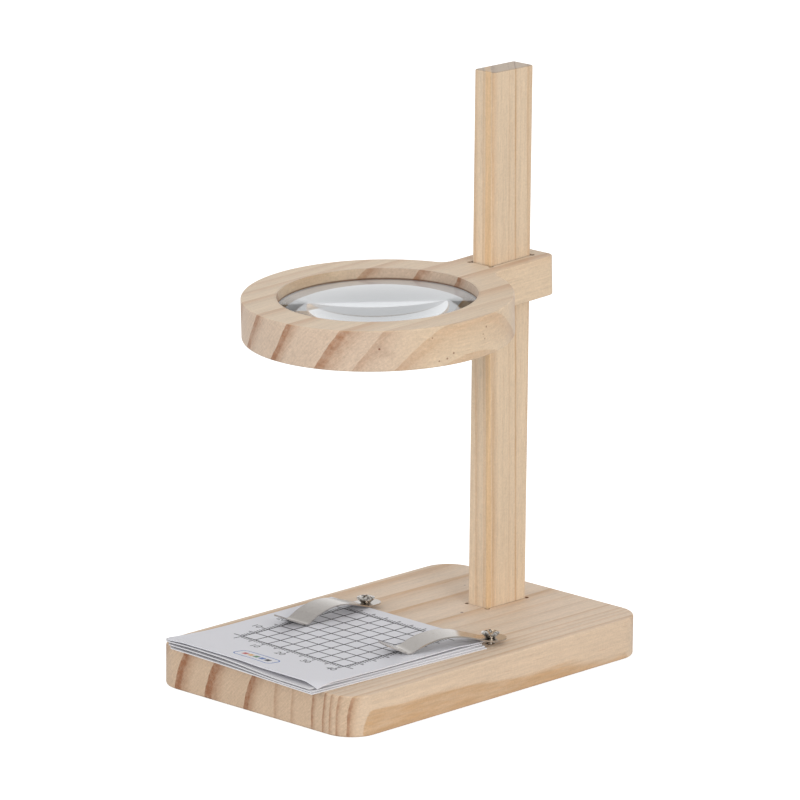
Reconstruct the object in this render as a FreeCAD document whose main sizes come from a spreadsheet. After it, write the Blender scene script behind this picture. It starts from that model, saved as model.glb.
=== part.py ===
import FreeCAD, Part
import math
import os
import Sketcher
from FreeCAD import Placement, Rotation, Vector

# A small wooden stand magnifier.  A pine base is the stage, a pine post stands in a mortise
# near its back, and a ring-shaped pine holder with a double convex lens slides up and down the
# post.  Two sprung steel clips, each under one screw, hold a stack of cards on the stage.
#
# Millimetres.  The origin is the centre of the base's underside, +Z is up, the post stands
# towards +Y, and the loose edge of the cards is at -Y.

DIMENSIONS = {
    # Base board.
    "base_width": 77.4,
    "base_length": 120.0,
    "base_thickness": 11.7,
    "base_corner_radius": 9.0,
    "base_edge_radius": 0.6,
    # Post, and the mortise that it stands in.
    "post_width": 7.7,
    "post_depth": 16.2,
    "post_top_height": 167.0,
    "post_back_offset": 39.2,
    "post_edge_radius": 0.8,
    "post_end_radius": 0.4,
    "mortise_floor": 4.0,
    "mortise_gap": 0.05,
    "relief_radius": 0.8,
    # Lens holder: a ring and an arm in one board.  It hangs askew by the play of its slot.
    "holder_thickness": 11.45,
    "holder_height": 112.05,
    "holder_droop": 2.34,
    "ring_outer_radius": 37.9,
    "ring_reach": 50.36,
    "arm_width": 18.1,
    "arm_back": 12.9,
    "arm_corner_radius": 2.8,
    "arm_root_radius": 4.0,
    "holder_edge_radius": 0.4,
    "slot_width": 8.1,
    "slot_length": 17.0,
    "slot_shift": 0.23,
    # Opening, seat and groove for the lens and for the ring that keeps it in.
    "opening_radius": 28.0,
    "lip_thickness": 3.2,
    "seat_radius": 32.7,
    "groove_radius": 33.2,
    "groove_height": 1.5,
    # Lens.
    "lens_radius": 32.5,
    "lens_surface_radius": 120.0,
    "lens_edge_thickness": 2.0,
    "fit_play": 0.02,
    # Split ring of round spring wire.
    "wire_radius": 0.7,
    "wire_ring_radius": 32.45,
    "wire_ring_sweep": 338.0,
    # Screws: two raised ones hold the clips, a flat one under the base holds the post.
    "screw_head_radius": 2.6,
    "screw_shank_radius": 1.3,
    "screw_rim": 0.3,
    "screw_dome": 0.52,
    "screw_shoulder": 0.6,
    "screw_shoulder_rise": 0.75,
    "screw_length": 11.0,
    "screw_tip": 2.5,
    "screw_pilot_depth": 9.8,
    "screw_row_offset": 6.5,
    "left_screw_offset": -20.4,
    "right_screw_offset": 28.0,
    "post_screw_head_radius": 2.8,
    "post_screw_shank_radius": 1.45,
    "post_screw_length": 18.0,
    "post_screw_dome": 0.02,
    "post_screw_sink": 0.2,
    "cross_length": 2.9,
    "cross_width": 0.8,
    "cross_depth": 1.1,
    # Clips: sprung strips, bent up into an arch, down onto the cards and up again at the tip.
    "clip_root_width": 6.6,
    "clip_root_reach": 3.0,
    "clip_width": 8.3,
    "clip_wide_reach": 11.0,
    "clip_tip_width": 5.0,
    "clip_thickness": 0.4,
    "clip_hole_radius": 1.36,
    "clip_tail": 4.7,
    "clip_flat": 1.5,
    "clip_arch_reach": 17.4,
    "clip_arch_rise": 4.85,
    "clip_valley_reach": 27.3,
    "clip_valley_rise": 0.0,
    "clip_tip_reach": 34.9,
    "clip_tip_rise": 3.5,
    "clip_tip_bow": 1.0,
    "clip_trim": 0.5,
    "clip_root_bend": 6.0,
    "clip_arch_bend": 22.0,
    "clip_valley_bend": 3.2,
    "clip_height": 13.06,
    "left_clip_turn": -1.0,
    "right_clip_turn": -18.8,
    # Cards: one printed card on three plain ones.
    "card_width": 60.5,
    "card_length": 66.0,
    "card_thickness": 0.28,
    "card_pitch": 0.32,
    "card_stack_height": 11.74,
    "card_front": -61.4,
    "card_centre": -3.05,
}

# Sideways and forward shift and turn of each card in the stack, from the bottom one upwards.
PLAIN_CARD_SHIFTS = [(0.25, -1.0, -3.1), (-0.36, -0.92, -2.8), (-1.27, -0.83, -2.4)]
SCALE_CARD_SHIFT = (0.0, 0.0, -0.7)

# How far each clip screw's cross is turned, in degrees.
CLIP_SCREW_TURNS = {"left": 20, "right": 52}

# Two lengths, or two volumes, this close are taken as the same.
TOLERANCE = 1e-4

# Sketch lines start at about this size, and the constraints then set them.
SKETCH_START = 10.0

doc = FreeCAD.newDocument("stand_magnifier")
sheet = doc.addObject("Spreadsheet::Sheet", "dims")
for row, (alias, number) in enumerate(DIMENSIONS.items(), start=1):
    sheet.set(f"A{row}", alias)
    sheet.set(f"B{row}", str(number))
    sheet.setAlias(f"B{row}", alias)
doc.recompute()

parts = []


def size(alias):
    return float(sheet.get(alias))


def new_body(label):
    body = doc.addObject("PartDesign::Body", label)
    body.Label = label
    parts.append(body)
    return body


def new_sketch(body, name, role="XY_Plane", lift=None):
    """A sketch on one of the body's own origin planes, lifted along its normal."""
    sketch = body.newObject("Sketcher::SketchObject", name)
    plane = next(item for item in body.Origin.OriginFeatures if item.Role == role)
    sketch.AttachmentSupport = [(plane, "")]
    sketch.MapMode = "FlatFace"
    if lift:
        sketch.setExpression("AttachmentOffset.Base.z", lift)
    return sketch


def place_point(sketch, geometry, vertex, across, up):
    """Fix a sketch point at the two expressions, measured from the sketch's origin."""
    for kind, expression in (("DistanceX", across), ("DistanceY", up)):
        constraint = Sketcher.Constraint(kind, -1, 1, geometry, vertex, SKETCH_START)
        number = sketch.addConstraint(constraint)
        sketch.setExpression(f"Constraints[{number}]", expression)


def add_polygon(sketch, corners):
    """A closed outline of straight lines through corners given as pairs of expressions."""
    count = len(corners)
    turn = 2 * math.pi / count
    ring = [Vector(math.cos(turn * k), math.sin(turn * k), 0) * SKETCH_START
            for k in range(count)]
    for k in range(count):
        sketch.addGeometry(Part.LineSegment(ring[k], ring[(k + 1) % count]))
    for k in range(count):
        sketch.addConstraint(Sketcher.Constraint("Coincident", k, 2, (k + 1) % count, 1))
    for k, (across, up) in enumerate(corners):
        place_point(sketch, k, 1, across, up)


def add_rectangle(sketch, left, right, front, back):
    add_polygon(sketch, [(left, front), (right, front), (right, back), (left, back)])


def add_circle(sketch, across, up, radius):
    circle = Part.Circle(Vector(0, 0, 0), Vector(0, 0, 1), SKETCH_START)
    index = sketch.addGeometry(circle)
    place_point(sketch, index, 3, across, up)
    number = sketch.addConstraint(Sketcher.Constraint("Radius", index, SKETCH_START))
    sketch.setExpression(f"Constraints[{number}]", radius)


def add_pad(body, sketch, name, length, downward=False):
    pad = body.newObject("PartDesign::Pad", name)
    pad.Profile = sketch
    pad.Reversed = downward
    pad.setExpression("Length", length)
    doc.recompute()
    return pad


def add_pocket(body, sketch, name, depth=None, upward=False):
    """Cut along the sketch's normal, right through where no depth is given."""
    before = body.Shape.Volume
    pocket = body.newObject("PartDesign::Pocket", name)
    pocket.Profile = sketch
    pocket.Reversed = upward
    if depth:
        pocket.setExpression("Length", depth)
    else:
        pocket.Type = "ThroughAll"
    doc.recompute()
    if body.Shape.Volume > before - TOLERANCE:
        raise RuntimeError(f"{name} cuts nothing")
    return pocket


def turn_profile(body, sketch, kind, name):
    """Turn a half profile once round the body's Z axis, as a Revolution or a Groove."""
    before = body.Shape.Volume if kind == "Groove" else math.inf
    feature = body.newObject(f"PartDesign::{kind}", name)
    feature.Profile = sketch
    axis = next(item for item in body.Origin.OriginFeatures if item.Role == "Z_Axis")
    feature.ReferenceAxis = (axis, [""])
    feature.Angle = 360
    doc.recompute()
    if body.Shape.Volume > before - TOLERANCE:
        raise RuntimeError(f"{name} cuts nothing")
    return feature


def round_edges(body, name, radius, chosen):
    """Fillet the edges of the body's latest feature that the test chooses."""
    base = body.Tip
    names = [f"Edge{k}" for k, edge in enumerate(base.Shape.Edges, start=1) if chosen(edge)]
    if not names:
        raise RuntimeError(f"{name} finds no edge")
    fillet = body.newObject("PartDesign::Fillet", name)
    fillet.Base = (base, names)
    fillet.setExpression("Radius", radius)
    doc.recompute()
    return fillet


def is_upright(edge):
    box = edge.BoundBox
    return max(box.XLength, box.YLength) < TOLERANCE < box.ZLength


def is_level_at(edge, height):
    box = edge.BoundBox
    return box.ZLength < TOLERANCE and abs(box.ZMin - height) < TOLERANCE


def is_circle(edge, radius):
    return isinstance(edge.Curve, Part.Circle) and abs(edge.Curve.Radius - radius) < TOLERANCE


def relief_centres(half_width, half_depth, centre):
    """The corners of a cut-out for the post, where the cutter leaves a round relief."""
    return [(f"{sx}{half_width}", f"{centre}{sy}{half_depth}") for sx in "-+" for sy in "-+"]


def make_base():
    body = new_body("base_plate")
    board = new_sketch(body, "base_outline")
    half_width = "dims.base_width/2"
    half_length = "dims.base_length/2"
    add_rectangle(board, f"-{half_width}", half_width, f"-{half_length}", half_length)
    add_pad(body, board, "base_board", "dims.base_thickness")
    round_edges(body, "base_corners", "dims.base_corner_radius", is_upright)
    levels = (0, size("base_thickness"))
    round_edges(body, "base_edges", "dims.base_edge_radius",
                lambda edge: any(is_level_at(edge, level) for level in levels))

    mortise_half_width = "(dims.post_width/2 + dims.mortise_gap)"
    mortise_half_depth = "(dims.post_depth/2 + dims.mortise_gap)"
    centre = "dims.post_back_offset"
    mortise_depth = "dims.base_thickness - dims.mortise_floor"
    mortise = new_sketch(body, "mortise_outline", lift="dims.base_thickness")
    add_rectangle(mortise, f"-{mortise_half_width}", mortise_half_width,
                  f"{centre}-{mortise_half_depth}", f"{centre}+{mortise_half_depth}")
    add_pocket(body, mortise, "mortise", mortise_depth)
    reliefs = new_sketch(body, "mortise_relief_outline", lift="dims.base_thickness")
    for across, up in relief_centres(mortise_half_width, mortise_half_depth, centre):
        add_circle(reliefs, across, up, "dims.relief_radius")
    add_pocket(body, reliefs, "mortise_reliefs", mortise_depth)

    shank = new_sketch(body, "post_screw_hole_outline", lift="dims.mortise_floor")
    add_circle(shank, "0", centre, "dims.post_screw_shank_radius + dims.fit_play")
    add_pocket(body, shank, "post_screw_hole")
    hole_radius = size("post_screw_shank_radius") + size("fit_play")
    drilled = body.Tip
    mouth = [f"Edge{k}" for k, edge in enumerate(drilled.Shape.Edges, start=1)
             if is_level_at(edge, 0) and is_circle(edge, hole_radius)]
    countersink = body.newObject("PartDesign::Chamfer", "post_screw_countersink")
    countersink.Base = (drilled, mouth)
    countersink.setExpression("Size", "dims.post_screw_head_radius + dims.screw_rim"
                                      " + dims.post_screw_sink - dims.post_screw_shank_radius")
    doc.recompute()

    pilots = new_sketch(body, "clip_pilot_outline", lift="dims.base_thickness")
    for offset in ("dims.left_screw_offset", "dims.right_screw_offset"):
        add_circle(pilots, offset, "dims.screw_row_offset",
                   "dims.screw_shank_radius + dims.fit_play")
    add_pocket(body, pilots, "clip_pilots", "dims.screw_pilot_depth")
    return body


def make_post():
    body = new_body("post")
    section = new_sketch(body, "post_section")
    half_width = "dims.post_width/2"
    half_depth = "dims.post_depth/2"
    add_rectangle(section, f"-{half_width}", half_width, f"-{half_depth}", half_depth)
    add_pad(body, section, "post_stick", "dims.post_top_height - dims.mortise_floor")
    round_edges(body, "post_edges", "dims.post_edge_radius", is_upright)
    top = size("post_top_height") - size("mortise_floor")
    round_edges(body, "post_end", "dims.post_end_radius", lambda edge: is_level_at(edge, top))
    pilot = new_sketch(body, "post_pilot_outline")
    add_circle(pilot, "0", "0", "dims.post_screw_shank_radius + dims.fit_play")
    add_pocket(body, pilot, "post_pilot", "dims.post_screw_length", upward=True)
    place = Vector(0, size("post_back_offset"), size("mortise_floor"))
    body.Placement = Placement(place, Rotation())
    return body


def make_screw(label, head_radius, shank_radius, length, dome):
    """A wood screw with a 90 degree cone under its head.  Z = 0 is where cone meets shank."""
    body = new_body(label)
    cone = f"({head_radius} - {shank_radius})"
    rim = f"({cone} + dims.screw_rim)"
    corners = [
        ("0", f"-{length}"),
        (shank_radius, f"dims.screw_tip - {length}"),
        (shank_radius, "0"),
        (head_radius, cone),
        (head_radius, rim),
        (f"{head_radius}*dims.screw_shoulder", f"{rim} + {dome}*dims.screw_shoulder_rise"),
        ("0", f"{rim} + {dome}"),
    ]
    profile = new_sketch(body, f"{label}_profile", "XZ_Plane")
    add_polygon(profile, corners)
    turn_profile(body, profile, "Revolution", f"{label}_blank")
    long_half = "dims.cross_length/2"
    thin_half = "dims.cross_width/2"
    cross = new_sketch(body, f"{label}_cross", lift=f"{rim} + {dome}")
    add_polygon(cross, [
        (f"-{long_half}", f"-{thin_half}"), (f"-{thin_half}", f"-{thin_half}"),
        (f"-{thin_half}", f"-{long_half}"), (thin_half, f"-{long_half}"),
        (thin_half, f"-{thin_half}"), (long_half, f"-{thin_half}"),
        (long_half, thin_half), (thin_half, thin_half),
        (thin_half, long_half), (f"-{thin_half}", long_half),
        (f"-{thin_half}", thin_half), (f"-{long_half}", thin_half),
    ])
    add_pocket(body, cross, f"{label}_recess", "dims.cross_depth")
    return body


def make_post_screw():
    head = "dims.post_screw_head_radius"
    shank = "dims.post_screw_shank_radius"
    body = make_screw("post_screw", head, shank, "dims.post_screw_length",
                      "dims.post_screw_dome")
    head_height = size("post_screw_head_radius") - size("post_screw_shank_radius")
    cone_top = head_height + size("screw_rim") + size("post_screw_sink")
    place = Vector(0, size("post_back_offset"), cone_top)
    body.Placement = Placement(place, Rotation(Vector(1, 0, 0), 180))
    return body


def make_clip_screw(side):
    """A clip screw stands proud: its cone sits on the clip and shows all round."""
    body = make_screw(f"clip_screw_{side}", "dims.screw_head_radius", "dims.screw_shank_radius",
                      "dims.screw_length", "dims.screw_dome")
    seat = size("clip_height") + size("clip_thickness") + size("fit_play")
    place = Vector(size(f"{side}_screw_offset"), size("screw_row_offset"), seat)
    body.Placement = Placement(place, Rotation(Vector(0, 0, 1), CLIP_SCREW_TURNS[side]))
    return body


def holder_placement():
    """Where the lens axis meets the holder's top face, and the holder's droop."""
    droop = math.radians(size("holder_droop"))
    reach = size("ring_reach")
    place = Vector(0, size("post_back_offset") - reach * math.cos(droop),
                   size("holder_height") - reach * math.sin(droop))
    return Placement(place, Rotation(Vector(1, 0, 0), size("holder_droop")))


def lens_sag(radius):
    """How far the lens surface falls from its middle to the given radius."""
    curve = size("lens_surface_radius")
    return curve - math.sqrt(curve ** 2 - radius ** 2)


def lens_levels():
    """Heights of the lens's upper and lower middles and of its edge's underside."""
    upper = lens_sag(size("opening_radius")) - size("lip_thickness") - size("fit_play")
    edge_bottom = upper - lens_sag(size("lens_radius")) - size("lens_edge_thickness")
    lower = edge_bottom - lens_sag(size("lens_radius"))
    return upper, lower, edge_bottom


def make_holder():
    body = new_body("lens_holder")
    ring = new_sketch(body, "ring_outline")
    add_circle(ring, "0", "0", "dims.ring_outer_radius")
    add_pad(body, ring, "ring_board", "dims.holder_thickness", downward=True)
    arm = new_sketch(body, "arm_outline")
    add_rectangle(arm, "-dims.arm_width/2", "dims.arm_width/2", "0",
                  "dims.ring_reach + dims.arm_back")
    add_pad(body, arm, "arm_board", "dims.holder_thickness", downward=True)
    reach = size("ring_reach")
    end = reach + size("arm_back")
    round_edges(body, "arm_end_corners", "dims.arm_corner_radius",
                lambda edge: is_upright(edge) and abs(edge.BoundBox.YMin - end) < TOLERANCE)
    round_edges(body, "arm_roots", "dims.arm_root_radius",
                lambda edge: is_upright(edge) and 0 < edge.BoundBox.YMin < reach
                and abs(abs(edge.BoundBox.XMin) - size("arm_width") / 2) < TOLERANCE)
    levels = (0, -size("holder_thickness"))
    round_edges(body, "holder_edges", "dims.holder_edge_radius",
                lambda edge: any(is_level_at(edge, level) for level in levels))

    opening = new_sketch(body, "opening_outline")
    add_circle(opening, "0", "0", "dims.opening_radius")
    add_pocket(body, opening, "opening")
    seat = new_sketch(body, "seat_outline", lift="-dims.lip_thickness")
    add_circle(seat, "0", "0", "dims.seat_radius")
    add_pocket(body, seat, "seat")
    _, _, groove_top = lens_levels()
    groove = new_sketch(body, "groove_profile", "XZ_Plane")
    add_rectangle(groove, "dims.opening_radius", "dims.groove_radius",
                  f"{groove_top} - dims.groove_height", f"{groove_top}")
    turn_profile(body, groove, "Groove", "ring_groove")

    centre = "(dims.ring_reach - dims.slot_shift)"
    slot_half_width = "dims.slot_width/2"
    slot_half_length = "dims.slot_length/2"
    slot = new_sketch(body, "slot_outline")
    add_rectangle(slot, f"-{slot_half_width}", slot_half_width,
                  f"{centre}-{slot_half_length}", f"{centre}+{slot_half_length}")
    add_pocket(body, slot, "slot")
    reliefs = new_sketch(body, "slot_relief_outline")
    for across, up in relief_centres(slot_half_width, slot_half_length, centre):
        add_circle(reliefs, across, up, "dims.relief_radius")
    add_pocket(body, reliefs, "slot_reliefs")
    body.Placement = holder_placement()
    return body


def make_lens():
    """Two spherical surfaces and a round edge, as the space that all three shapes share."""
    upper, lower, _ = lens_levels()
    ball = []
    for name, height in (("upper", upper - size("lens_surface_radius")),
                         ("lower", lower + size("lens_surface_radius"))):
        sphere = doc.addObject("Part::Sphere", f"lens_{name}_surface")
        sphere.setExpression("Radius", "dims.lens_surface_radius")
        sphere.Placement = Placement(Vector(0, 0, height), Rotation())
        ball.append(sphere)
    edge = doc.addObject("Part::Cylinder", "lens_edge")
    edge.setExpression("Radius", "dims.lens_radius")
    edge.setExpression("Height", "dims.holder_thickness*2")
    edge_foot = (upper + lower) / 2 - size("holder_thickness")
    edge.Placement = Placement(Vector(0, 0, edge_foot), Rotation())
    lens = doc.addObject("Part::MultiCommon", "lens")
    lens.Label = "lens"
    lens.Shapes = [edge] + ball
    lens.Placement = holder_placement()
    parts.append(lens)
    return lens


def make_retaining_ring():
    """The wire ring's round section touches the lens's lower surface just inside its edge."""
    ring = doc.addObject("Part::Torus", "lens_retaining_ring")
    ring.Label = "lens_retaining_ring"
    ring.setExpression("Radius1", "dims.wire_ring_radius")
    ring.setExpression("Radius2", "dims.wire_radius")
    ring.setExpression("Angle3", "dims.wire_ring_sweep")
    _, lower, _ = lens_levels()
    curve = size("lens_surface_radius")
    to_wire = curve + size("wire_radius") + size("fit_play")
    below_lens = lower + curve - math.sqrt(to_wire ** 2 - size("wire_ring_radius") ** 2)
    gap_at_arm = Rotation(Vector(0, 0, 1), 90 + (360 - size("wire_ring_sweep")) / 2)
    seat = Placement(Vector(0, 0, below_lens), gap_at_arm)
    ring.Placement = holder_placement().multiply(seat)
    parts.append(ring)
    return ring


def rounded_route(points, radii):
    """Straight runs through the points, joined by tangent arcs of the given radii."""
    edges = []
    start = points[0]
    for corner, following, radius in zip(points[1:-1], points[2:], radii):
        inward = (corner - start).normalize()
        outward = (following - corner).normalize()
        turn = inward.getAngle(outward)
        run = radius * math.tan(turn / 2)
        first = corner - inward * run
        last = corner + outward * run
        middle_way = (outward - inward).normalize()
        middle = corner + middle_way * (radius / math.cos(turn / 2) - radius)
        edges.append(Part.LineSegment(start, first).toShape())
        edges.append(Part.Arc(first, middle, last).toShape())
        start = last
    edges.append(Part.LineSegment(start, points[-1]).toShape())
    return edges


def strip_face(points, radii, thickness):
    """The side view of a bent strip: the route below, and the same route one thickness up."""
    runs = [(after - before).normalize() for before, after in zip(points, points[1:])]
    normals = [Vector(0, -run.z, run.y) for run in runs]
    upper = [points[0] + normals[0] * thickness]
    for corner, before, after in zip(points[1:-1], normals, normals[1:]):
        mitre = (before + after).normalize()
        upper.append(corner + mitre * (thickness / math.cos(before.getAngle(after) / 2)))
    upper.append(points[-1] + normals[-1] * thickness)
    upper_radii = []
    for before, after, radius in zip(runs, runs[1:], radii):
        rises = before.cross(after).x > 0
        upper_radii.append(radius - thickness if rises else radius + thickness)
    edges = rounded_route(points, radii)
    edges.append(Part.LineSegment(points[-1], upper[-1]).toShape())
    edges += rounded_route(upper, upper_radii)
    edges.append(Part.LineSegment(upper[0], points[0]).toShape())
    return Part.Face(Part.Wire(Part.__sortEdges__(edges)))


def clip_plan():
    """A clip's flat outline: a round tail, a wider arch, and a tip that narrows past the bend."""
    root_half = size("clip_root_width") / 2
    half = size("clip_width") / 2
    tip_half = size("clip_tip_width") / 2
    tail = size("clip_tail")
    tip = size("clip_tip_reach")
    stations = [
        (root_half, root_half - tail),
        (root_half, size("clip_root_reach")),
        (half, size("clip_wide_reach")),
        (half, size("clip_valley_reach")),
        (tip_half, tip - size("clip_tip_bow")),
    ]
    right = [Vector(x, y, 0) for x, y in stations]
    left = [Vector(-x, y, 0) for x, y in stations]
    outline = []
    for side in (right, left):
        for start, end in zip(side, side[1:]):
            outline.append(Part.LineSegment(start, end).toShape())
    outline.append(Part.Arc(left[0], Vector(0, -tail, 0), right[0]).toShape())
    outline.append(Part.Arc(right[-1], Vector(0, tip, 0), left[-1]).toShape())
    return Part.Face(Part.Wire(Part.__sortEdges__(outline)))


def make_clip(side):
    """A clip in its own frame points along +Y from the screw, and is then turned to -Y."""
    width = size("clip_width")
    thickness = size("clip_thickness")
    corners = [
        Vector(0, -size("clip_tail"), 0),
        Vector(0, size("clip_flat"), 0),
        Vector(0, size("clip_arch_reach"), size("clip_arch_rise")),
        Vector(0, size("clip_valley_reach"), size("clip_valley_rise") - thickness / 2),
        Vector(0, size("clip_tip_reach") + size("clip_trim"), size("clip_tip_rise")),
    ]
    bends = [size("clip_root_bend"), size("clip_arch_bend"), size("clip_valley_bend")]
    side_view = strip_face(corners, bends, thickness)
    strip = side_view.extrude(Vector(width, 0, 0))
    strip.translate(Vector(-width / 2, 0, 0))
    foot = Vector(0, 0, -2 * size("clip_arch_rise"))
    trimmer = clip_plan().extrude(foot * -2)
    trimmer.translate(foot)
    hole = Part.makeCylinder(size("clip_hole_radius"), 2 * foot.Length, foot)
    clip = doc.addObject("Part::Feature", f"clip_{side}")
    clip.Label = f"clip_{side}"
    clip.Shape = strip.common(trimmer).cut(hole)
    turn = 180 + size(f"{side}_clip_turn")
    place = Vector(size(f"{side}_screw_offset"), size("screw_row_offset"), size("clip_height"))
    clip.Placement = Placement(place, Rotation(Vector(0, 0, 1), turn))
    parts.append(clip)
    return clip


def make_card(label, layer, shift):
    across, forward, turn = shift
    card = doc.addObject("Part::Box", label)
    card.Label = label
    card.setExpression("Length", "dims.card_width")
    card.setExpression("Width", "dims.card_length")
    card.setExpression("Height", "dims.card_thickness")
    to_corner = Vector(-size("card_width") / 2, 0, 0)
    rotation = Rotation(Vector(0, 0, 1), turn)
    middle = Vector(size("card_centre") + across, size("card_front") + forward,
                    size("card_stack_height") + layer * size("card_pitch"))
    card.Placement = Placement(middle + rotation.multVec(to_corner), rotation)
    parts.append(card)
    return card


make_base()
make_post()
make_post_screw()
make_holder()
make_lens()
make_retaining_ring()
for clip_side in ("left", "right"):
    make_clip(clip_side)
    make_clip_screw(clip_side)
for number, card_shift in enumerate(PLAIN_CARD_SHIFTS):
    make_card(f"plain_card_{number + 1}", number, card_shift)
make_card("scale_card", len(PLAIN_CARD_SHIFTS), SCALE_CARD_SHIFT)
doc.recompute()

for item in doc.Objects:
    if "Invalid" in item.State or "Error" in item.State:
        raise RuntimeError(f"{item.Name} failed: {item.State}")

os.makedirs("parts", exist_ok=True)
for node in parts:
    if node.Shape.isNull() or not node.Shape.isValid():
        raise RuntimeError(f"{node.Label} has no valid shape")
    if len(node.Shape.Solids) != 1:
        raise RuntimeError(f"{node.Label} is {len(node.Shape.Solids)} solids")
    node.Shape.exportStep(f"parts/{node.Label}.step")
    box = node.Shape.BoundBox
    print(f"{node.Label:22s} {node.Shape.Volume:10.2f} mm3  "
          f"x {box.XMin:7.2f} {box.XMax:7.2f}  y {box.YMin:7.2f} {box.YMax:7.2f}  "
          f"z {box.ZMin:7.2f} {box.ZMax:7.2f}")
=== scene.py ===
import math

import bmesh
import bpy
from mathutils import Matrix, Vector


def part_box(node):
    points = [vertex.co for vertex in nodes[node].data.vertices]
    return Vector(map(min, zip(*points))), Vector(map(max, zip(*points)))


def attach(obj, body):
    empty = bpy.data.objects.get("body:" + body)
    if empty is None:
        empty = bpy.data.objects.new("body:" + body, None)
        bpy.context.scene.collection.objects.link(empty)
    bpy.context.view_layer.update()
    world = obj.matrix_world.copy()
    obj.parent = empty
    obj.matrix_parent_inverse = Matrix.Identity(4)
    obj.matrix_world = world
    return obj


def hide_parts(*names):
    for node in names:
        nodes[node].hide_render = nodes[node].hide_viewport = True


# The looks of a small pine stand magnifier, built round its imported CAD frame.
# Sizes are in millimetres and turned into metres where they meet Blender, except in the
# studio.  Colours are display colours from 0 to 255, which tone() turns into Blender's.

MM = 0.001

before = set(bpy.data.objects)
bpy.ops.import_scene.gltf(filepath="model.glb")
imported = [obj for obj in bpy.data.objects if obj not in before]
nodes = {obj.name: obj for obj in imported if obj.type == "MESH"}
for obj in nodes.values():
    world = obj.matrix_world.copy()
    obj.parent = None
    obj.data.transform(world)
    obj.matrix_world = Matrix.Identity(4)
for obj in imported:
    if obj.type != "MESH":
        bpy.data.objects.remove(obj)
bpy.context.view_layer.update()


# ---------------------------------------------------------------- shader helpers

def tone(red, green, blue):
    """A display colour, 0 to 255, as the linear RGBA that shaders take."""
    shares = [channel / 255 for channel in (red, green, blue)]
    return tuple(c / 12.92 if c <= 0.04045 else ((c + 0.055) / 1.055) ** 2.4
                 for c in shares) + (1.0,)


class Shader:
    """A material being built: a Principled surface and short calls that add nodes to it."""

    def __init__(self, name):
        self.material = bpy.data.materials.new(name)
        self.material.use_nodes = True
        self.tree = self.material.node_tree
        self.tree.nodes.clear()
        self.surface = self.add("ShaderNodeBsdfPrincipled")
        output = self.add("ShaderNodeOutputMaterial")
        self.tree.links.new(self.surface.outputs["BSDF"], output.inputs["Surface"])
        self.coordinates = self.add("ShaderNodeTexCoord")

    def add(self, kind, **settings):
        """A new node of a kind, with its settings."""
        node = self.tree.nodes.new(kind)
        for name, value in settings.items():
            setattr(node, name, value)
        return node

    def feed(self, socket, value):
        """Links a node's socket to another one, or sets it to a plain value."""
        if isinstance(value, bpy.types.NodeSocket):
            self.tree.links.new(value, socket)
        else:
            socket.default_value = value

    def set(self, **values):
        """Values or links for the surface's sockets, named with _ for a space."""
        for name, value in values.items():
            self.feed(self.surface.inputs[name.replace("_", " ")], value)

    def math(self, operation, *values):
        node = self.add("ShaderNodeMath", operation=operation)
        for socket, value in zip(node.inputs, values):
            self.feed(socket, value)
        return node.outputs[0]

    def total(self, *values):
        """The sum of any number of values."""
        result = values[0]
        for value in values[1:]:
            result = self.math("ADD", result, value)
        return result

    def ramp(self, value, low, high, start=0.0, end=1.0):
        """A smooth step from start to end as the value goes from low to high."""
        node = self.add("ShaderNodeMapRange", interpolation_type="SMOOTHSTEP")
        for socket, number in zip(node.inputs, (value, low, high, start, end)):
            self.feed(socket, number)
        return node.outputs[0]

    def vector(self, operation, first, second):
        node = self.add("ShaderNodeVectorMath", operation=operation)
        self.feed(node.inputs[0], first)
        self.feed(node.inputs[1], second)
        return node.outputs["Value" if operation in ("DISTANCE", "LENGTH") else "Vector"]

    def split(self, vector):
        node = self.add("ShaderNodeSeparateXYZ")
        self.feed(node.inputs[0], vector)
        return node.outputs[:]

    def join(self, *axes):
        node = self.add("ShaderNodeCombineXYZ")
        for socket, value in zip(node.inputs, axes):
            self.feed(socket, value)
        return node.outputs[0]

    def noise(self, vector, detail=2.0, roughness=0.5, scale=1.0):
        """Noise from -0.5 to 0.5, about one blob in each unit of the vector."""
        node = self.add("ShaderNodeTexNoise")
        self.feed(node.inputs["Vector"], vector)
        self.feed(node.inputs["Scale"], scale)
        self.feed(node.inputs["Detail"], detail)
        self.feed(node.inputs["Roughness"], roughness)
        return self.math("SUBTRACT", node.outputs[0], 0.5)

    def mix(self, factor, first, second):
        """A colour between two others, the second one where the factor is 1."""
        node = self.add("ShaderNodeMix", data_type="RGBA")
        self.feed(node.inputs[0], factor)
        self.feed(node.inputs[6], first)
        self.feed(node.inputs[7], second)
        return node.outputs[2]

    def brighten(self, colour, value):
        """The colour, as many times as bright as the value says."""
        node = self.add("ShaderNodeHueSaturation")
        self.feed(node.inputs["Color"], colour)
        self.feed(node.inputs["Value"], value)
        return node.outputs[0]

    def bump(self, height, strength, distance):
        """Small relief on the surface, with its distance in millimetres."""
        node = self.add("ShaderNodeBump")
        self.feed(node.inputs["Height"], height)
        self.feed(node.inputs["Strength"], strength)
        self.feed(node.inputs["Distance"], distance * MM)
        self.feed(self.surface.inputs["Normal"], node.outputs[0])

    def millimetres(self, place=(0, 0, 0), tilt=0.0):
        """Object coordinates in millimetres, from a place and with a tilt about X."""
        node = self.add("ShaderNodeMapping", vector_type="TEXTURE")
        self.feed(node.inputs["Vector"], self.coordinates.outputs["Object"])
        self.feed(node.inputs["Location"], [value * MM for value in place])
        self.feed(node.inputs["Rotation"], (tilt, 0.0, 0.0))
        return self.vector("MULTIPLY", node.outputs[0], (1 / MM,) * 3)


# ---------------------------------------------------------------- holder and lens places

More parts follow.
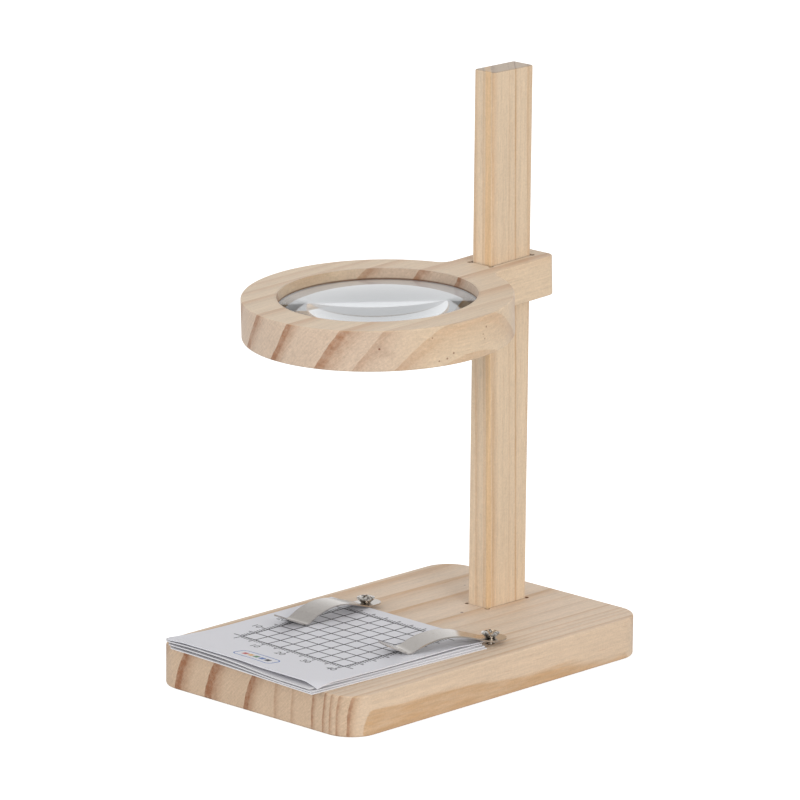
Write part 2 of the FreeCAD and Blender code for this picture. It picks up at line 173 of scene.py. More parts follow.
# The holder hangs askew by this angle.  Its slot's middle is RING_REACH behind the lens's
# axis, and its opening is in a lip at its top face, which the lens touches from below.
HOLDER_TILT = math.radians(2.34)
RING_REACH = 50.36
SLOT_WIDTH = 8.1
SLOT_LENGTH = 17.0
OPENING_RADIUS = 28.0
LIP_THICKNESS = 3.2
FIT_PLAY = 0.02
LENS_RADIUS = 32.5
LENS_CURVE = 120.0
LENS_EDGE = 2.0


def lens_sag(radius):
    """How far the lens's surface falls from its middle to a radius."""
    return LENS_CURVE - math.sqrt(LENS_CURVE ** 2 - radius ** 2)


def lens_middle():
    """The middle of the lens, in metres."""
    low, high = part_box("lens")
    return (low + high) / 2


def lens_placement():
    """The lens's middle, tilted as its holder is."""
    return Matrix.Translation(lens_middle()) @ Matrix.Rotation(HOLDER_TILT, 4, "X")


def holder_top():
    """Where the lens's axis meets the holder's top face, in millimetres."""
    half_lens = LENS_EDGE / 2 + lens_sag(LENS_RADIUS)
    above_lens = LIP_THICKNESS + FIT_PLAY + half_lens - lens_sag(OPENING_RADIUS)
    axis = Vector((0, -math.sin(HOLDER_TILT), math.cos(HOLDER_TILT)))
    return lens_middle() / MM + axis * above_lens


# ---------------------------------------------------------------- wood

# How dark the painted shade round holes is, from 0 to 1, and how softly it ends.
RIM_PAINTED_SHADE = 0.85
HOLE_SHADE = 0.9
SEAT_PAINTED_SHADE = 0.85
LIP_SHADE = 0.10
FLOOR_SOFTNESS = 0.5
SEAT_SOFTNESS = 0.6


def square_hole(shader, axes, middle, half_x, half_y, surface, floor):
    """Painted shade: round a square hole's rim and all over its walls, but not below its floor."""
    reaches = []
    for axis, place, half in ((axes[0], middle[0], half_x), (axes[1], middle[1], half_y)):
        away = shader.math("ABSOLUTE", shader.math("SUBTRACT", axis, place))
        reaches.append(shader.math("SUBTRACT", away, half))
    reach = shader.math("MAXIMUM", *reaches)
    # Painted shade along the hole's rim, where the gap casts a shadow line.
    rim = shader.ramp(reach, 0.02, 0.34, RIM_PAINTED_SHADE, 0.0)
    inside = shader.math("MULTIPLY", shader.ramp(reach, 0.9, 1.2, HOLE_SHADE, 0.0),
                         shader.ramp(axes[2], surface - 0.4, surface - 0.1, 1.0, 0.0))
    above_floor = shader.ramp(axes[2], floor - FLOOR_SOFTNESS, floor)
    return shader.math("MULTIPLY", shader.math("MAXIMUM", rim, inside), above_floor)


def seat_corner(shader, axes, radius, depth):
    """Painted shade in the corner where a round lip meets the glass, and lighter painted shade on the
    lip's wall.
    """
    out = shader.vector("LENGTH", shader.join(axes[0], axes[1], 0.0), (0.0, 0.0, 0.0))
    wall = shader.ramp(out, radius + SEAT_SOFTNESS / 2, radius + SEAT_SOFTNESS * 1.5, 1.0, 0.0)
    # Painted shade: darkest in the corner at the lip's underside, fainter up the wall.
    corner = shader.ramp(axes[2], 0.12 - depth, 0.62 - depth, SEAT_PAINTED_SHADE, LIP_SHADE)
    return shader.math("MULTIPLY", wall, corner)


# Half the depth over which a ring darkens, and how much of its darkness its paler part keeps.
RING_LEAP = 0.12
RING_FADED = 0.62


class Pine(Shader):
    """Sanded pine.  It has its own axes in millimetres, and grain is the number of the one
    that its fibres follow."""

    def __init__(self, name, grain, place=(0, 0, 0), tilt=0.0):
        super().__init__(name)
        self.grain = grain
        self.point = self.millimetres(place, tilt)
        self.axes = self.split(self.point)
        facing = self.split(self.coordinates.outputs["Normal"])[grain]
        self.end = self.ramp(self.math("ABSOLUTE", facing), 0.35, 0.8)
        self.side = self.math("SUBTRACT", 1.0, self.end)
        self.fibres = self.noise(self.stretched(2.6, 0.22), 3.0, 0.65)
        self.grit = self.noise(self.point, 3.0, 0.75, 1.5)

    def stretched(self, cross, along):
        """The point at one scale across the grain and at another along it."""
        return self.join(*[self.math("MULTIPLY", axis, along if k == self.grain else cross)
                           for k, axis in enumerate(self.axes)])

    def ring_depth(self, across):
        """The depth through the growth rings, which sway and shiver along the grain."""
        sway = self.math("MULTIPLY", self.noise(self.stretched(0.10, 0.014)), 1.5)
        shiver = self.math("MULTIPLY", self.noise(self.stretched(0.7, 0.06), 3.0), 0.40)
        return self.total(across(self, *self.axes), sway, shiver)

    def late_wood(self, depth, rings):
        """Growth rings, each given by the depth of its edge, its darkness and the length of
        its fade: it leaps to its darkness, keeps it for a while and then fades away."""
        late = 0.0
        for edge, darkness, fade in rings:
            leap = self.ramp(depth, edge - RING_LEAP, edge + RING_LEAP)
            band = self.ramp(depth, edge + 0.32 * fade, edge + 0.50 * fade, 1.0, RING_FADED)
            tail = self.ramp(depth, edge + 0.35 * fade, edge + 1.25 * fade, 1.0, 0.0)
            ring = self.math("MULTIPLY", self.math("MULTIPLY", leap, band),
                             self.math("MULTIPLY", tail, darkness))
            late = self.math("MAXIMUM", late, ring)
        patches = self.noise(self.stretched(0.45, 0.05), 4.0, 0.7)
        return self.math("MULTIPLY", late, self.ramp(patches, -0.25, 0.2, 0.55, 1.1))

    def wood_colour(self, late, tones):
        """Early and late wood, each with one colour on the sides and one on the end grain."""
        side = self.mix(self.math("MULTIPLY", late, 0.85), tones["side"], tones["side_late"])
        end = self.mix(late, tones["end"], tones["end_late"])
        return self.mix(self.end, side, end)

    def striped(self, colour, depth, stripes):
        """Zones of another colour, each given by the depths where it starts and stops, how
        soft its borders are, its strength and its colour."""
        for start, stop, soft, strength, tint in stripes:
            zone = self.math("MULTIPLY", self.ramp(depth, start - soft, start + soft),
                             self.ramp(depth, stop - soft, stop + soft, 1.0, 0.0))
            colour = self.mix(self.math("MULTIPLY", zone, strength), colour, tint)
        return colour

    def texture_light(self):
        """Clouds and grit all over, streaks and fibres on the sides, and saw scratches on the
        end grain, each with its strength behind it."""
        clouds = self.noise(self.stretched(0.07, 0.02), 2.0)
        streaks = self.noise(self.stretched(0.8, 0.02), 4.0, 0.6)
        along_saw = self.math("MULTIPLY", self.total(*self.axes), 0.16)
        across_saw = self.math("MULTIPLY", self.math("SUBTRACT", self.axes[0], self.axes[2]), 1.7)
        scratches = self.noise(self.join(along_saw, across_saw, 0.0), 2.0)
        return self.total(
            1.0,
            self.math("MULTIPLY", clouds, 0.14),
            self.math("MULTIPLY", self.math("MULTIPLY", streaks, self.side), 0.34),
            self.math("MULTIPLY", self.math("MULTIPLY", self.fibres, self.side), 0.36),
            self.math("MULTIPLY", self.grit, self.ramp(self.end, 0.0, 1.0, 0.36, 0.62)),
            self.math("MULTIPLY", self.math("MULTIPLY", scratches, self.end), 0.36))

    def with_ducts(self, colour, tint):
        """Fine dark resin ducts along the sides."""
        ducts = self.ramp(self.noise(self.stretched(2.4, 0.11), 1.0), 0.20, 0.26)
        strength = self.math("MULTIPLY", self.math("MULTIPLY", ducts, self.side), 0.30)
        return self.mix(strength, colour, tint)

    def flecked(self, colour, tint, flecks):
        """Brown specks, each given by its spot, radius and strength."""
        for spot, radius, strength in flecks:
            away = self.vector("DISTANCE", self.point, spot)
            colour = self.mix(self.ramp(away, radius * 0.45, radius, strength, 0.0), colour, tint)
        return colour


def pine(wood, across, rings, tones, flecks=(), stripes=(), dark=None):
    """The material of a piece of pine.  across() gives the depth through its growth rings,
    and dark() gives how much painted shade lies at a place."""
    depth = wood.ring_depth(across)
    late = wood.late_wood(depth, rings)
    colour = wood.striped(wood.wood_colour(late, tones), depth, stripes)
    colour = wood.with_ducts(wood.brighten(colour, wood.texture_light()), tones["duct"])
    if flecks:
        colour = wood.flecked(colour, tones["fleck"], flecks)
    # Painted shade in holes, gaps and the lens seat's corner: a dark wood tone mixed in where dark()
    # says.
    if dark:
        colour = wood.mix(dark(wood, wood.axes), colour, tones["painted_shade"])
    wood.set(Base_Color=colour, Specular_IOR_Level=0.42, Sheen_Weight=0.22, Sheen_Roughness=0.45,
             Roughness=wood.total(0.56, wood.math("MULTIPLY", wood.fibres, 0.14)))
    wood.bump(wood.total(wood.fibres, wood.math("MULTIPLY", wood.grit, 0.5),
                         wood.math("MULTIPLY", late, -0.35)), 0.30, 0.05)
    return wood.material


ALONG_Y = 1
ALONG_Z = 2
BASE_RING_BOW = 0.72
BASE_RING_DRIFT = -0.0092
POST_RING_LEAN = 0.0183
HOLDER_RING_LEAN = -0.62
HOLDER_RING_DRIFT = -0.035
MORTISE_FLOOR = 4.0
SLOT_SHADE_FLOOR = -10.9


def base_pine():
    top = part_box("base_plate")[1].z / MM
    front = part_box("base_plate")[0].y / MM

    def across(shader, x, y, z):
        """Rings lean and bow below the top face, most on the left, and drift with length."""
        down = shader.math("DIVIDE", shader.math("SUBTRACT", top, z), top)
        slope = shader.math("MULTIPLY_ADD", down, -BASE_RING_BOW, 1 + BASE_RING_BOW)
        bow = shader.math("MULTIPLY", down, slope)
        lean = shader.total(shader.ramp(x, 2.0, 9.0, 4.2, 0.7), shader.ramp(x, 33.0, 39.0, 0.0, 1.3))
        drift = shader.math("MULTIPLY", shader.math("SUBTRACT", y, front), BASE_RING_DRIFT)
        return shader.total(x, shader.math("MULTIPLY", bow, lean), drift)

    rings = [(-37.5, 0.9, 6.0), (-25.9, 1.0, 5.8), (-14.0, 1.0, 6.2), (1.1, 1.0, 4.6),
             (9.6, 0.42, 2.2), (16.2, 0.36, 1.6), (23.9, 0.8, 1.7), (28.2, 0.75, 1.3),
             (30.6, 0.6, 1.2), (32.8, 0.6, 1.3), (35.9, 0.75, 1.8), (39.5, 0.85, 6.0)]
    tones = {"side": tone(214, 190, 164), "side_late": tone(192, 150, 103),
             "end": tone(201, 175, 148), "end_late": tone(148, 98, 64),
             "duct": tone(176, 132, 98), "fleck": tone(92, 52, 34), "painted_shade": tone(96, 66, 44)}
    flecks = [((1.4, 23.2, top), 0.6, 0.95), ((-17.0, 44.0, top), 0.35, 0.85)]
    low, high = (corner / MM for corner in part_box("post"))
    middle = (low + high) / 2
    half = (high - low) / 2

    # Painted shade round and inside the post's mortise.
    def dark(shader, axes):
        return square_hole(shader, axes, middle, half.x, half.y, top, MORTISE_FLOOR)

    return pine(Pine("base_pine", ALONG_Y), across, rings, tones, flecks=flecks, dark=dark)


def post_pine():
    def across(shader, x, y, z):
        """Rings cross the post's section on the diagonal and lean a little along it."""
        return shader.total(x, y, shader.math("MULTIPLY", z, POST_RING_LEAN))

    rings = [(30.4, 0.5, 1.6), (33.6, 0.45, 1.2), (37.0, 0.62, 2.4), (43.9, 0.35, 0.6),
             (46.5, 1.0, 0.9), (51.7, 0.45, 2.2), (55.5, 0.5, 1.6)]
    tones = {"side": tone(214, 191, 163), "side_late": tone(188, 147, 104),
             "end": tone(183, 162, 139), "end_late": tone(146, 118, 94),
             "duct": tone(182, 132, 92)}
    stripes = [(34.6, 36.8, 0.35, 0.62, tone(212, 172, 122))]
    return pine(Pine("post_pine", ALONG_Z), across, rings, tones, stripes=stripes)


def holder_pine():
    """The holder's own axes start where the lens's axis meets its top face, and hang with it."""
    def across(shader, x, y, z):
        """Rings lean steeply through the board, so that they cross its round wall aslant."""
        return shader.total(x, shader.math("MULTIPLY", z, HOLDER_RING_LEAN),
                            shader.math("MULTIPLY", y, HOLDER_RING_DRIFT))

    rings = [(-34.0, 0.5, 3.0), (-29.0, 0.6, 3.0), (-21.9, 0.8, 3.4), (-9.9, 0.85, 4.6),
             (3.6, 1.0, 4.4), (18.9, 0.85, 6.0), (28.6, 0.40, 4.0), (36.9, 0.55, 5.0),
             (43.5, 0.5, 3.0)]
    tones = {"side": tone(214, 191, 163), "side_late": tone(190, 150, 112),
             "end": tone(204, 181, 159), "end_late": tone(158, 112, 80),
             "duct": tone(178, 134, 102), "fleck": tone(116, 66, 42), "painted_shade": tone(92, 56, 28)}
    flecks = [((26.6, -27.0, -5.0), 0.4, 0.85), ((26.9, -26.7, -5.6), 2.6, 0.13),
              ((28.6, -24.8, -6.6), 1.8, 0.10), ((36.3, -10.6, -9.4), 0.4, 0.7),
              ((36.9, -8.6, -8.2), 0.4, 0.7), ((35.6, -13.0, -9.8), 0.35, 0.7),
              ((34.9, -14.8, -3.0), 0.3, 0.6), ((37.8, 3.6, -3.2), 0.4, 0.7),
              ((37.7, 2.2, -5.0), 0.35, 0.6), ((37.8, 2.9, -6.4), 0.35, 0.6)]

    # Painted shade in the post's slot and in the corner of the lens seat.
    def dark(shader, axes):
        slot = square_hole(shader, axes, (0.0, RING_REACH), SLOT_WIDTH / 2, SLOT_LENGTH / 2,
                           0.0, SLOT_SHADE_FLOOR)
        seat = seat_corner(shader, axes, OPENING_RADIUS, LIP_THICKNESS)
        return shader.math("MAXIMUM", slot, seat)

    wood = Pine("holder_pine", ALONG_Y, holder_top(), HOLDER_TILT)
    return pine(wood, across, rings, tones, flecks=flecks, dark=dark)


# ---------------------------------------------------------------- metal, glass and card

def spring_steel():
    """Satin strip, brushed along its length, with faint handling marks."""
    shader = Shader("satin_spring_steel")
    point = shader.millimetres()
    x, y, z = shader.split(point)
    brushed = shader.noise(shader.join(shader.math("MULTIPLY", x, 9.0),
                                       shader.math("MULTIPLY", y, 0.5), z), 3.0)
    marks = shader.noise(point, 4.0, 0.65, 0.55)
    spots = shader.ramp(shader.noise(point, 4.0, 0.75, 0.8), 0.08, 0.22)
    colour = shader.mix(shader.math("MULTIPLY", spots, 0.5), tone(194, 189, 184),
                        tone(128, 110, 94))
    shader.set(Base_Color=shader.brighten(colour, shader.math("MULTIPLY_ADD", marks, 0.20, 1.0)),
               Metallic=1.0,
               Roughness=shader.total(0.19, shader.math("MULTIPLY", marks, 0.18),
                                      shader.math("MULTIPLY", brushed, 0.06)))
    shader.bump(brushed, 0.05, 0.02)
    return shader.material


def nickel(name, colour, worn, roughness):
    """Plated steel with fine tool marks, and blotches of a worn colour."""
    shader = Shader(name)
    point = shader.millimetres()
    marks = shader.noise(point, 3.0, 0.6, 2.2)
    blotches = shader.ramp(shader.noise(point, 2.0, 0.6, 1.1), -0.02, 0.12, 0.0, 0.85)
    plating = shader.mix(blotches, colour, worn)
    shader.set(Base_Color=shader.brighten(plating, shader.math("MULTIPLY_ADD", marks, 0.16, 1.0)),
               Metallic=1.0,
               Roughness=shader.math("MULTIPLY_ADD", marks, 0.16, roughness))
    shader.bump(marks, 0.08, 0.02)
    return shader.material


def card_stock(name, colour):
    """Smooth white card: faint fibres and a slight mottle."""
    shader = Shader(name)
    point = shader.millimetres()
    mottle = shader.noise(point, 3.0, 0.6, 0.35)
    fibre = shader.noise(point, 4.0, 0.7, 5.0)
    light = shader.total(1.0, shader.math("MULTIPLY", mottle, 0.03),
                         shader.math("MULTIPLY", fibre, 0.03))
    shader.set(Base_Color=shader.brighten(colour, light),
               Roughness=shader.math("MULTIPLY_ADD", fibre, 0.12, 0.48), Specular_IOR_Level=0.4)
    shader.bump(fibre, 0.10, 0.02)
    return shader.material


def ink(name, colour):
    """Printed ink, a little uneven."""
    shader = Shader(name)
    blot = shader.noise(shader.millimetres(), 3.0, 0.6, 1.5)
    shader.set(Base_Color=shader.brighten(colour, shader.math("MULTIPLY_ADD", blot, 0.35, 1.0)),
               Roughness=shader.math("MULTIPLY_ADD", blot, 0.1, 0.5))
    return shader.material


def lens_glass():
    """Polished optical glass with a few specks of dust."""
    shader = Shader("lens_glass_polished")
    dust = shader.ramp(shader.noise(shader.millimetres(), 2.0, 0.5, 0.9), 0.27, 0.30)
    shader.set(Base_Color=tone(244, 247, 250), IOR=1.52, Transmission_Weight=1.0,
               Roughness=shader.math("MULTIPLY", dust, 0.12))
    return shader.material


def ground_glass():
    """The lens's finely ground edge, with a painted reflection of the wood wall round it in its brown
    colour.
    """
    shader = Shader("lens_ground_edge_painted_reflection")
    grit = shader.noise(shader.millimetres(), 4.0, 0.7, 6.0)
    # The brown base colour is a painted reflection of the wood wall that the edge faces.
    shader.set(Base_Color=tone(126, 92, 62), IOR=1.52, Transmission_Weight=0.35,
               Roughness=shader.math("MULTIPLY_ADD", grit, 0.2, 0.35))
    shader.bump(grit, 0.4, 0.05)
    return shader.material


# ---------------------------------------------------------------- mesh helpers

def closed_mesh(name, points, faces):
    """A mesh from points in metres, with all its faces turned outwards."""
    mesh = bpy.data.meshes.new(name)
    mesh.from_pydata(points, [], faces)
    shape = bmesh.new()
    shape.from_mesh(mesh)
    bmesh.ops.recalc_face_normals(shape, faces=shape.faces)
    shape.to_mesh(mesh)
    shape.free()
    return mesh


def linked(name, data):
    """A new object in the scene."""
    thing = bpy.data.objects.new(name, data)
    bpy.context.scene.collection.objects.link(thing)
    return thing


def evaluated_mesh(thing):
    """The mesh that an object's modifiers or text make."""
    bpy.context.view_layer.update()
    graph = bpy.context.evaluated_depsgraph_get()
    return bpy.data.meshes.new_from_object(thing.evaluated_get(graph))


def new_piece(name, points, faces, materials, body, replaced, sharp=35.0):
    """A smooth-shaded piece that rides on a body and may replace CAD nodes.  Each face is its
    corners and its material's number, and an edge sharper than the angle stays sharp."""
    mesh = closed_mesh(name, points, [corners for corners, _ in faces])
    for material in materials:
        mesh.materials.append(material)
    for polygon, (_, index) in zip(mesh.polygons, faces):
        polygon.material_index = index
    mesh.shade_smooth()
    mesh.set_sharp_from_angle(angle=math.radians(sharp))
    piece = linked(name, mesh)
    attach(piece, body)
    if replaced:
        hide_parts(*replaced)
    return piece


def lathe(profile, around, radius_at=None):
    """Points and faces of a profile of (radius, height, material) turned about Z, in as many
    steps as around says.  radius_at() may change a point's radius by its height and turn."""
    points = []
    rows = []
    for radius, height, _ in profile:
        if radius == 0:
            rows.append([len(points)] * around)
            points.append(Vector((0, 0, height)))
            continue
        rows.append(list(range(len(points), len(points) + around)))
        for k in range(around):
            turn = 2 * math.pi * k / around
            reach = radius_at(radius, height, turn) if radius_at else radius
            points.append(Vector((reach * math.cos(turn), reach * math.sin(turn), height)))
    faces = []
    for row, following, (_, _, index) in zip(rows, rows[1:], profile):
        for k in range(around):
            ahead = (k + 1) % around
            corners = (row[k], row[ahead], following[ahead], following[k])
            faces.append((tuple(dict.fromkeys(corners)), index))
    return points, faces


def placed(points, placement):
    """Points in millimetres, carried to their place in metres."""
    return [placement @ (point * MM) for point in points]


# ---------------------------------------------------------------- lens

LENS_BEVEL = 0.25
LENS_CAP_STEPS = 40
LENS_TURN_STEPS = 192


def build_lens(polished, ground):
    """Two polished caps, numbered 0, and a ground and bevelled edge between them, numbered 1."""
    half = LENS_EDGE / 2 + lens_sag(LENS_RADIUS)
    rim = LENS_RADIUS - LENS_BEVEL
    cap = []
    for k in range(LENS_CAP_STEPS):
        radius = rim * k / LENS_CAP_STEPS
        cap.append((radius, half - lens_sag(radius)))
    rim_height = half - lens_sag(rim)
    edge_height = (LENS_EDGE - LENS_BEVEL) / 2
    profile = [(radius, height, 0) for radius, height in cap]
    profile += [(rim, rim_height, 1), (LENS_RADIUS, edge_height, 1),
                (LENS_RADIUS, -edge_height, 1), (rim, -rim_height, 0)]
    profile += [(radius, -height, 0) for radius, height in reversed(cap)]
    points, faces = lathe(profile, LENS_TURN_STEPS)
    new_piece("lens_blank", placed(points, lens_placement()), faces, [polished, ground],
              "holder", ["lens"], sharp=12.0)


# ---------------------------------------------------------------- screws

# Radii of the head and the shank, the dome's rise, the cross's turn in degrees, and whether
# the head looks down.
SCREWS = {
    "clip_screw_left": (2.6, 1.3, 0.5, 20, False),
    "clip_screw_right": (2.6, 1.3, 0.5, 52, False),
    "post_screw": (2.8, 1.45, 0.06, 10, True),
}
SCREW_RIM = 0.3
SCREW_RIM_BEVEL = 0.06
SCREW_RIM_DROP = 0.08
SCREW_NECK = 0.5
SCREW_THREAD_DROP = 1.2
SCREW_POINT = 2.5
SCREW_PITCH = 1.1
SCREW_CORE_SHARE = 0.68
SCREW_ROW_HEIGHT = 0.12
SCREW_TURN_STEPS = 40
DOME_STEPS = 8
SCREW_RIDGE_SHARPNESS = 4.5
SCREW_TIP_SHARE = 0.12
SCREW_TIP_HEIGHT = 0.02
# The cross is this wide and deep, and its arms have these shares of its reach at its top,
# which is a little above the head, and at its bottom.
CROSS_REACH = 1.45
CROSS_HALF_WIDTH = 0.34
CROSS_DEPTH = 1.35
CROSS_CLEARANCE = 0.1
CROSS_TOP_SHARE = 1.15
CROSS_BOTTOM_SHARE = 0.42


def dome_profile(radius, rise, height):
    """A shallow dome from the axis out to a radius, rise high, as profile rows."""
    curve = (radius ** 2 + rise ** 2) / (2 * rise)
    rows = []
    for k in range(DOME_STEPS):
        reach = radius * k / DOME_STEPS
        rows.append((reach, height - curve + math.sqrt(curve ** 2 - reach ** 2), 0))
    return rows


def cross_shape(top):
    """A cross that tapers downwards from top, as a driver leaves in a screw head."""
    rows = []
    for height, share in ((top, CROSS_TOP_SHARE), (top - CROSS_DEPTH, CROSS_BOTTOM_SHARE)):
        far = CROSS_REACH * share
        near = CROSS_HALF_WIDTH * (0.55 + 0.45 * share)
        outline = [(-far, -near), (-near, -near), (-near, -far), (near, -far), (near, -near),
                   (far, -near), (far, near), (near, near), (near, far), (-near, far),
                   (-near, near), (-far, near)]
        rows.append([Vector((x, y, height)) for x, y in outline])
    count = len(rows[0])
    faces = [tuple(range(count)), tuple(range(count, 2 * count))]
    for k in range(count):
        ahead = (k + 1) % count
        faces.append((k, ahead, count + ahead, count + k))
    return rows[0] + rows[1], faces


def screw_profile(length, head_radius, shank_radius, dome):
    """The screw's outline from the middle of its dome down to its point at height 0."""
    core = SCREW_CORE_SHARE * shank_radius
    cone = head_radius - shank_radius
    rim_top = length - dome
    cone_bottom = rim_top - SCREW_RIM - cone
    thread_top = cone_bottom - SCREW_THREAD_DROP
    rows = int(thread_top / SCREW_ROW_HEIGHT)
    profile = dome_profile(head_radius - SCREW_RIM_BEVEL, dome, length)
    profile += [(head_radius - SCREW_RIM_BEVEL, rim_top, 0),
                (head_radius, rim_top - SCREW_RIM_DROP, 0), (head_radius, cone_bottom + cone, 0),
                (shank_radius, cone_bottom, 0), (shank_radius, cone_bottom - SCREW_NECK, 0)]
    for k in range(rows + 1):
        profile.append((core, thread_top * (1 - k / rows) + SCREW_TIP_HEIGHT, 0))
    profile.append((0, 0, 0))
    return profile


def screw_thread(shank_radius):
    """Gives the shank's core a raised helix, and shrinks both towards the point."""
    core = SCREW_CORE_SHARE * shank_radius

    def radius_at(radius, height, turn):
        if radius != core:
            return radius
        taper = min(1.0, SCREW_TIP_SHARE + height / SCREW_POINT)
        phase = (height / SCREW_PITCH - turn / (2 * math.pi)) % 1.0
        ridge = max(0.0, 1 - abs(phase - 0.5) * SCREW_RIDGE_SHARPNESS)
        return (core + (shank_radius - core) * ridge) * taper

    return radius_at


def cut_cross(piece, stand, top):
    """Cuts a driver's cross into a screw's head and keeps the result as the piece's mesh."""
    points, faces = cross_shape(top)
    cutter = linked("cross_cutter", closed_mesh("cross_cutter", placed(points, stand), faces))
    recess = piece.modifiers.new("recess", "BOOLEAN")
    recess.object = cutter
    recess.solver = "EXACT"
    cut = evaluated_mesh(piece)
    piece.modifiers.clear()
    piece.data = cut
    cut.set_sharp_from_angle(angle=math.radians(30))
    bpy.data.objects.remove(cutter)


def build_screw(node, body, head_radius, shank_radius, dome, turn, upside_down, material):
    """A countersunk wood screw: dome, rim, cone, and a threaded shank that ends in a point."""
    low, high = (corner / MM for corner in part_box(node))
    middle = (low + high) / 2
    length = high.z - low.z
    tip = Vector((middle.x, middle.y, high.z if upside_down else low.z)) * MM
    upright = Matrix.Rotation(math.pi if upside_down else 0.0, 4, "X")
    stand = Matrix.Translation(tip) @ upright @ Matrix.Rotation(math.radians(turn), 4, "Z")
    profile = screw_profile(length, head_radius, shank_radius, dome)
    points, faces = lathe(profile, SCREW_TURN_STEPS, screw_thread(shank_radius))
    piece = new_piece(f"{node}_turned", placed(points, stand), faces, [material],
                      body, [node])
    cut_cross(piece, stand, length + CROSS_CLEARANCE)


# ---------------------------------------------------------------- cards

CARD_WIDTH = 60.5
CARD_COLUMNS = 62
CARD_ROWS = 66
CORNER_WEAR_LENGTH = 1.9
PLAIN_CARD_WEAR = 2.4
SCALE_CARD_WEAR = 1.8
FRONT_BOW_LENGTH = 27.0
FRONT_LIFT = 1.35
RIGHT_LIFT = 0.52
CORNER_DIP = 1.30
# How far each plain card's front edge stands up at its left, in its middle and at its right.
PLAIN_CARD_LIFTS = {1: (0.0, 0.12, 0.0), 2: (0.62, 0.78, 0.10), 3: (1.12, 1.48, 0.42)}


class CardPlace:
    """A card's own axes: s runs from its left edge and t from its front edge, in millimetres."""

    def __init__(self, node):
        places = {(round(v.co.x, 6), round(v.co.y, 6)) for v in nodes[node].data.vertices}
        middle = sum((Vector(place) for place in places), Vector((0, 0))) / len(places)
        ring = sorted(places, key=lambda q: math.atan2(q[1] - middle.y, q[0] - middle.x))
        front_left, front_right, _, back_left = (Vector(place) for place in ring)
        self.corner = front_left / MM
        self.width = (front_right - front_left).length / MM
        self.length = (back_left - front_left).length / MM
        self.rightwards = (front_right - front_left).normalized()
        self.backwards = (back_left - front_left).normalized()
        low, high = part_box(node)
        self.bottom = low.z / MM
        self.top = high.z / MM

    def at(self, s, t, height):
        """A place on the card, and a height above the table, as a point in metres."""
        flat = self.corner + self.rightwards * s + self.backwards * t
        return Vector((flat.x, flat.y, height)) * MM


def step(value, low, high):
    """0 below low, 1 above high and smooth between them."""
    share = min(1.0, max(0.0, (value - low) / (high - low)))
    return share * share * (3 - 2 * share)


def front_bow(t):
    """The share of the front edge's lift that is left at t from that edge."""
    return max(0.0, 1 - t / FRONT_BOW_LENGTH) ** 2


def scale_card_lift(s, t):
    """The printed card bows up at its front and right edges and dips at that corner."""
    front = FRONT_LIFT + 0.42 * step(s, 0, 9) - 0.38 * step(s, 29, 41)
    right = RIGHT_LIFT * step(s, 54.3, 61.8) * step(t, 5, 20) * (1 - step(t, 54, 63))
    corner = max(0.0, 1 - (CARD_WIDTH - s) / 5.2 - t / 7.0)
    return front * front_bow(t) + right - CORNER_DIP * corner ** 1.5


def plain_card_lift(layer):
    """The lift of one plain card: they fan out towards the front, the upper ones most."""
    at_left, at_middle, at_right = PLAIN_CARD_LIFTS[layer]

    def lift(s, t):
        across = (at_left + (at_middle - at_left) * step(s, 0, 14)
                  + (at_right - at_middle) * step(s, 22, 50))
        return across * front_bow(t)

    return lift


def build_card(node, name, lift, worn, material, body):
    """A closed thin sheet on a fine grid, bent by its lift, with its front left corner worn."""
    place = CardPlace(node)
    points = []
    for height in (place.top, place.bottom):
        for j in range(CARD_ROWS + 1):
            t = place.length * j / CARD_ROWS
            left = worn * max(0.0, 1 - t / CORNER_WEAR_LENGTH)
            for i in range(CARD_COLUMNS + 1):
                s = left + (place.width - left) * i / CARD_COLUMNS
                points.append(place.at(s, t, height + lift(s, t)))
    wide = CARD_COLUMNS + 1
    under = wide * (CARD_ROWS + 1)
    faces = []
    for j in range(CARD_ROWS):
        for i in range(CARD_COLUMNS):
            first = j * wide + i
            top = (first, first + 1, first + wide + 1, first + wide)
            faces.append((top, 0))
            faces.append((tuple(corner + under for corner in reversed(top)), 0))
    border = list(range(CARD_COLUMNS))
    border += [j * wide + CARD_COLUMNS for j in range(CARD_ROWS)]
    border += [CARD_ROWS * wide + i for i in range(CARD_COLUMNS, 0, -1)]
    border += [j * wide for j in range(CARD_ROWS, 0, -1)]
    for first, second in zip(border, border[1:] + border[:1]):
        faces.append(((first, first + under, second + under, second), 0))
    new_piece(name, points, faces, [material], body, [node])


# ---------------------------------------------------------------- the card's print

GRID_CORNER = (10.95, 20.0)
GRID_CELL = 5.0
GRID_CELLS = 8
GRID_OVERRUN = 3.4
GRID_LINE = 0.42
TICK_LENGTH = 1.5
TICK_LINE = 0.38
LONG_TICK_LENGTH = 2.6
LONG_TICK_LINE = 0.44
NUMERAL_HEIGHT = 2.3
NUMERAL_BELOW = 4.7
NUMERAL_LEFT = 4.6
NUMERAL_ASIDE = 0.4
MARK_MIDDLE = (29.8, 7.0)
MARK_HALF_WIDTH = 7.2
MARK_HALF_HEIGHT = 2.7
MARK_ROUNDING = 1.6
MARK_LINE = 0.35
MARK_SPOTS = 32
PATCH_SIDES = (1.6, 1.8)
PATCH_PITCH = 2.2
INK_STRETCH = 2.5
# A figure's height as a share of the font's size.
FIGURE_SHARE = 0.7
# The inks' numbers, in the order in which build_print() is given them.
DARK, BLUE, RED, GREEN, AMBER = range(5)


